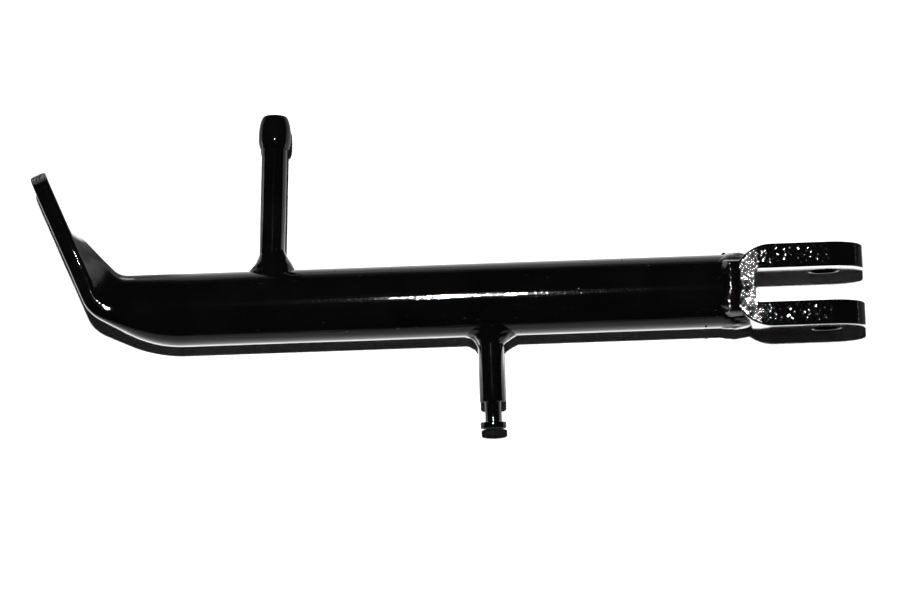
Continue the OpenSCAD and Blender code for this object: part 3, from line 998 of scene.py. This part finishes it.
ringWeldSet = {
    "height": 0.5,
    "width": 7.0,
    "kickSide": 0.45,               # the bead is higher where the tube faces the kick peg's side
    "springSide": 0.2,
    "around": 240,
    "across": 28,
    "ripple": 0.2,
    "coverStart": -37.2,            # over the cut edges the weld runs in from here to there, mm
    "coverTo": -30.0,
    "coverHalf": 10.6,
    "coverSteps": (64, 26),
    "coverCrest": 0.4,              # share of the way at which it is highest
    "coverFall": 0.11,
}


def makePegWeld(which, pegR, place, axis, lean):
    shared, s = pegWeldSet, pegWeldSet[which]
    axis = Vector(axis).normalized()
    side = Vector((axis.y, -axis.x, 0))     # along the tube
    up = axis.cross(side)
    leanSine, leanCosine = math.sin(math.radians(lean)), math.cos(math.radians(lean))
    sunk = shared["sunk"]

    def saddle(r, a):
        # how far along the peg the tube's round lies
        return (math.sqrt(tubeR ** 2 - (r * math.sin(a)) ** 2) - tubeR
                + r * math.cos(a) * leanSine) / leanCosine

    weld = Mesh()
    rows = []
    for i in range(shared["around"]):
        degrees = 360 * i / shared["around"]
        a = math.radians(degrees)
        turned = (degrees - s["lumpAt"] + 180) % 360 - 180
        swell = 1 + s["ripple"] * math.sin(s["ripples"] * a)
        swell += s["ripple"] / 2 * math.cos((s["ripples"] + 4) * a)
        swell += s["lump"] * math.exp(-(turned / shared["lumpSpread"]) ** 2)
        out = side * math.cos(a) + up * math.sin(a)
        toe = 1 + 0.10 * wobble((math.cos(a) * 3, math.sin(a) * 3, 0), 1.2, s["seed"])
        near = 0.5 + 0.5 * math.cos(a)
        hollow = s["hollow"][1] + (s["hollow"][0] - s["hollow"][1]) * near
        swell *= s["farSide"] + (1 - s["farSide"]) * near
        row = []
        for k in range(shared["across"] + 1):
            t = k / shared["across"]
            outShare = (1 - hollow) * t + hollow * (1 - math.cos(math.pi / 2 * t))
            r = pegR - sunk + (s["reach"] * toe + sunk) * outShare
            height = s["height"] * swell * ((1 - hollow) * (1 - t) + hollow * (1 - math.sin(math.pi / 2 * t)))
            p = Vector(place) + out * r + axis * (saddle(r, a) + height)
            outward = (out + axis * 0.6).normalized()
            calm = math.sin(math.pi * min(1, t * 1.02))
            push = 0.30 * wobble(p, 2.3, s["seed"]) + 0.12 * wobble(p, 0.9, s["seed"] + 1)
            p = p + outward * push * calm - axis * 0.25 * ease((t - 0.9) / 0.1)
            row.append(p)
        # close the ring inside the tube
        for k in range(1, 5):
            r = pegR - sunk + s["reach"] * toe * (1 - k / 4)
            row.append(Vector(place) + out * r + axis * (saddle(r, a) - 0.5))
        rows.append(row)
    weld.grid(rows, wrapRows=True, wrapColumns=True)
    return weld


def makeRingWeld():
    s = ringWeldSet
    weld = Mesh()
    rows = []
    start = -(clevisBack + s["width"] - legSet["copeDepth"] - 0.6)
    stop = backCentre - math.sqrt(clevisHalf ** 2 - (tubeR - 0.5) ** 2)
    for i in range(s["around"]):
        a = 2 * math.pi * i / s["around"]
        ca, sa = math.cos(a), math.sin(a)
        toe = 1.1 * wobble((ca * 6, sa * 6, 0), 2.3, 21.0) + 2.2 * max(ca, 0) ** 6
        toe -= 1.4 * math.exp(-((a - 0.9) / 0.3) ** 2)
        side = s["kickSide"] * max(ca, 0) ** 2 + s["springSide"] * max(-ca, 0) ** 2
        bulge = s["height"] * (1 + side)
        row = []
        for k in range(s["across"] + 1):
            t = k / s["across"]
            x = start + toe * (1 - t) + (stop - start) * t
            r = tubeR - 0.25 + (bulge + 0.25) * math.sin(math.pi * t) ** 0.7
            p = Vector((x, r * ca, r * sa))
            crescent = math.sin(24 * a + 6 * math.sin(math.pi * t))
            push = s["ripple"] * (0.25 * crescent + 1.3 * wobble(p, 2.6, 23.0) + 0.5 * wobble(p, 1.2, 25.0))
            push = (push - 0.06) * math.sin(math.pi * t)
            r = r + push
            if abs(sa) > 0.05:
                r = min(r, (clevisHigh.z - 0.08) / abs(sa))
            row.append((x, r * ca, r * sa))
        for k in range(1, 4):
            t = 1 - k / 4
            row.append((start + 1.6 + (stop - start - 1.6) * t, (tubeR - 1.2) * ca, (tubeR - 1.2) * sa))
        rows.append(row)
    weld.grid(rows, wrapRows=True, wrapColumns=True)

    # above and below, the weld climbs from the tube over the back of the clevis
    down, over = s["coverSteps"]
    for sign in (1, -1):
        rows = []
        for i in range(down + 1):
            y = s["coverHalf"] * (2 * i / down - 1)
            tubeZ = math.sqrt(tubeR ** 2 - y ** 2)
            hold = ease((s["coverHalf"] - abs(y)) / 2.4)
            spot = (0, y, sign)
            first = s["coverStart"] + 1.5 * wobble(spot, 3.0, 33.0) + 0.8 * wobble(spot, 1.3, 37.0)
            last = s["coverTo"] + 0.7 * wobble(spot, 1.6, 35.0)
            last = max(last, backCentre - math.sqrt(clevisHalf ** 2 - y ** 2) + 0.5)
            rise = s["coverCrest"] * (1 + 0.5 * wobble(spot, 2.2, 39.0))
            crest = first + (last - first) * rise
            highest = clevisHigh.z - 0.2 + 0.12 * wobble(spot, 1.8, 41.0)
            top, under = [], []
            for k in range(over + 1):
                t = k / over
                x = first + (last - first) * t
                z = tubeZ + 0.04 + (highest - tubeZ) * ease(t / rise) * hold
                z -= s["coverFall"] * max(0, x - crest) * hold
                p = (x, y, sign * z)
                z += hold * math.sin(math.pi * t) * (0.07 * wobble(p, 3.4, 27.0) + 0.02 * wobble(p, 1.2, 29.0))
                z -= 0.4 * ease(1 - t / 0.08) + 0.7 * ease((t - 0.9) / 0.1)
                z = min(z, clevisHigh.z - 0.05)
                top.append((x, y, sign * z))
                under.append((x, y, sign * (z - 1.6 * hold * math.sin(math.pi * t) ** 0.5)))
            rows.append(top + under[-2:0:-1])
        weld.grid(rows, wrapColumns=True, flip=sign < 0)
    return weld


def addSpatter(weld, chooser, count, middle, spread, facing):
    for k in range(count):
        x = chooser.gauss(middle, spread)
        a = math.radians(chooser.gauss(facing, 34))
        normal = (0, math.cos(a), math.sin(a))
        radius = chooser.uniform(0.2, 0.62)
        centre = (x, tubeR * normal[1], tubeR * normal[2])
        weld.add(*dropVerts(centre, normal, radius, radius * chooser.uniform(0.5, 0.9), 4, 12))


# place, normal and radius of the drops that the photograph shows singly
singleDrops = {
    "kick": [((-188.3, 11.6, 6.0), (0, 0.89, 0.46), 0.9), ((-197.6, 19.6, 2.6), (-0.79, 0, 0.61), 0.45),
             ((-194.0, 19.2, 4.3), (0.05, 0, 1), 0.4), ((-192.6, 20.0, 4.0), (0.37, 0, 0.93), 0.4)],
    "spring": [((-121.8, -10.6, 7.5), (0, -0.81, 0.58), 0.5), ((-117.0, -10.0, 8.3), (0, -0.77, 0.64), 0.55),
               ((-114.6, -10.4, 7.8), (0, -0.8, 0.6), 0.45)],
    "ring": [((-38.4, -1.0, 13.0), (0, -0.08, 1), 0.3), ((-37.6, 3.0, 12.7), (0, 0.23, 0.97), 0.25),
             ((-40.9, 2.6, 12.7), (0, 0.2, 0.98), 0.25), ((-41.0, 0.0, 13.0), (0, 0, 1), 0.3),
             ((-34.9, 13.1, 0.6), (0, 1, 0.05), 1.0)],
}


def makeWelds(material):
    kick, spring = kickSet, springSet
    lean = math.radians(kick["lean"])
    kickWeld = makePegWeld("kick", kick["rodD"] / 2, (-kick["place"], tubeR, 0),
                           (math.sin(lean), math.cos(lean), 0), kick["lean"])
    springWeld = makePegWeld("spring", spring["shankD"] / 2, (-spring["place"], -tubeR, 0), (0, -1, 0), 0)
    chooser = random.Random(19)
    # weld, node, its single drops, and its spatter: how many, where, how wide, degrees round the tube
    welds = [(kickWeld, "weld_kick_peg", "kick", (12, -kick["place"], 9, 70)),
             (springWeld, "weld_spring_peg", "spring", (14, -spring["place"], 9, 125)),
             (makeRingWeld(), "weld_clevis", "ring", (12, -clevisBack - 8, 4, 95))]
    for weld, node, which, spatter in welds:
        addSpatter(weld, chooser, *spatter)
        for centre, away, radius in singleDrops[which]:
            weld.add(*dropVerts(centre, away, radius, radius * 0.7, 4, 12))
        weld.make(node + "_bead", node, "weld_enamel", material, sharpAngle=50)


makeCamera()
makeLight()
makeFloor()
print("camera, light and floor ready")

enamel = enamelMaterial("black enamel", 0.04, 0.055, peel=0.25)
drawnEnamel = enamelMaterial("black enamel on drawn tube", 0.038, 0.048, peel=0.5, drawn=True, wornTip=True)
edgeEnamel = enamelMaterial("black enamel on cut edges", 0.045, 0.06, peel=0.3, lumpScale=800,
                            lumpDepth=0.00007, flatOnly=True)
weldEnamel = enamelMaterial("black enamel on welds", 0.045, 0.06, peel=0.4, lumpScale=600, lumpDepth=0.00006)

makeLeg(drawnEnamel)
makeClevis(edgeEnamel)
makeKickPeg(enamel)
makeSpringPeg(enamel)
makeWelds(weldEnamel)

scene = bpy.context.scene
scene.view_settings.view_transform = "Standard"
print("all pieces made")
